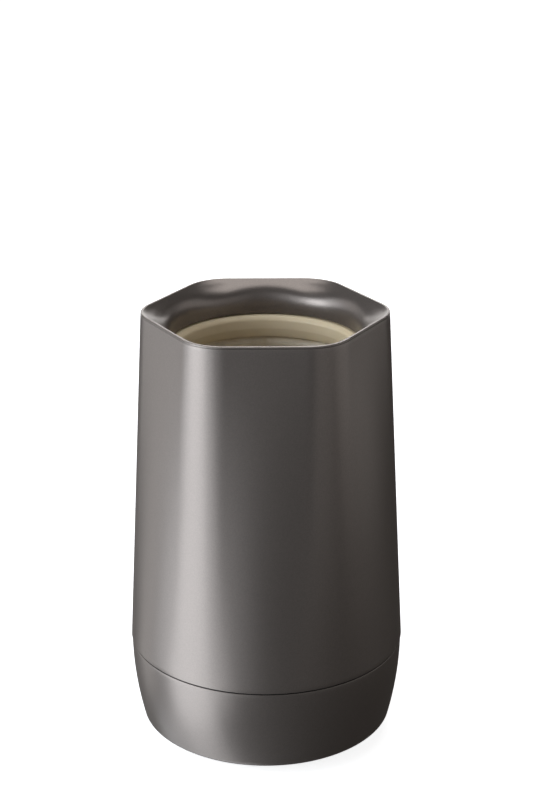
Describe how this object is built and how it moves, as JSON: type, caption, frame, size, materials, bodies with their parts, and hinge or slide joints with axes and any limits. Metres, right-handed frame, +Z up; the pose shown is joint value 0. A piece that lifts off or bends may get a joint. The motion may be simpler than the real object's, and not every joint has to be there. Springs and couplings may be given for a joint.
{
  "type": "wine bottle cooler",
  "caption": "Rigid double-walled bottle cooler, round below and softly hexagonal at the rim, with a twist-off base and a lift-out gel cooling sleeve.",
  "frame": {"origin": "centre of the underside, on the surface the cooler stands on", "axes": "+Z up along the axis of the bottle well; +X and -X point to two corners of the hexagonal rim; -Y is the front, a flat side of the rim"},
  "size_m": [0.1244, 0.1244, 0.2],
  "materials": {
    "graphite_shell": "satin metallic graphite",
    "inner_plastic": "matte moulded",
    "soft_rubber": "matte soft",
    "pale_ring": "satin moulded cream",
    "sleeve_film": "satin film",
    "cooling_gel": "soft pack, stands in for water gel",
    "screw_steel": "bright zinc"
  },
  "bodies": {
    "base": {"base_cup": "graphite_shell", "base_core": "inner_plastic", "base_gasket": "soft_rubber", "anti_slip_foot": "soft_rubber", "base_screw_1": "screw_steel", "base_screw_2": "screw_steel", "base_screw_3": "screw_steel"},
    "tray": {"drip_tray": "inner_plastic", "bottle_mat": "soft_rubber"},
    "cooling_sleeve": {"element_top_ring": "pale_ring", "element_bottom_ring": "pale_ring", "sleeve_inner_film": "sleeve_film", "sleeve_outer_film": "sleeve_film", "gel_cell_1": "cooling_gel", "gel_cell_2": "cooling_gel", "gel_cell_3": "cooling_gel", "gel_cell_4": "cooling_gel", "gel_cell_5": "cooling_gel", "gel_cell_6": "cooling_gel", "gel_cell_7": "cooling_gel", "gel_cell_8": "cooling_gel"},
    "housing": {"outer_shell": "graphite_shell", "inner_collar": "graphite_shell", "inner_liner": "inner_plastic", "bayonet_ring": "inner_plastic"}
  },
  "joints": [
    {"name": "base_twist", "type": "hinge", "parent": "base", "child": "tray", "pos_m": [0, 0, 0.0145], "axis": [0, 0, 1], "range_deg": [0, 30]},
    {"name": "sleeve_lift", "type": "slide", "parent": "tray", "child": "cooling_sleeve", "axis": [0, 0, 1], "range_m": [0, 0.05]},
    {"name": "housing_lift", "type": "slide", "parent": "cooling_sleeve", "child": "housing", "axis": [0, 0, 1], "range_m": [0, 0.15]}
  ]
}
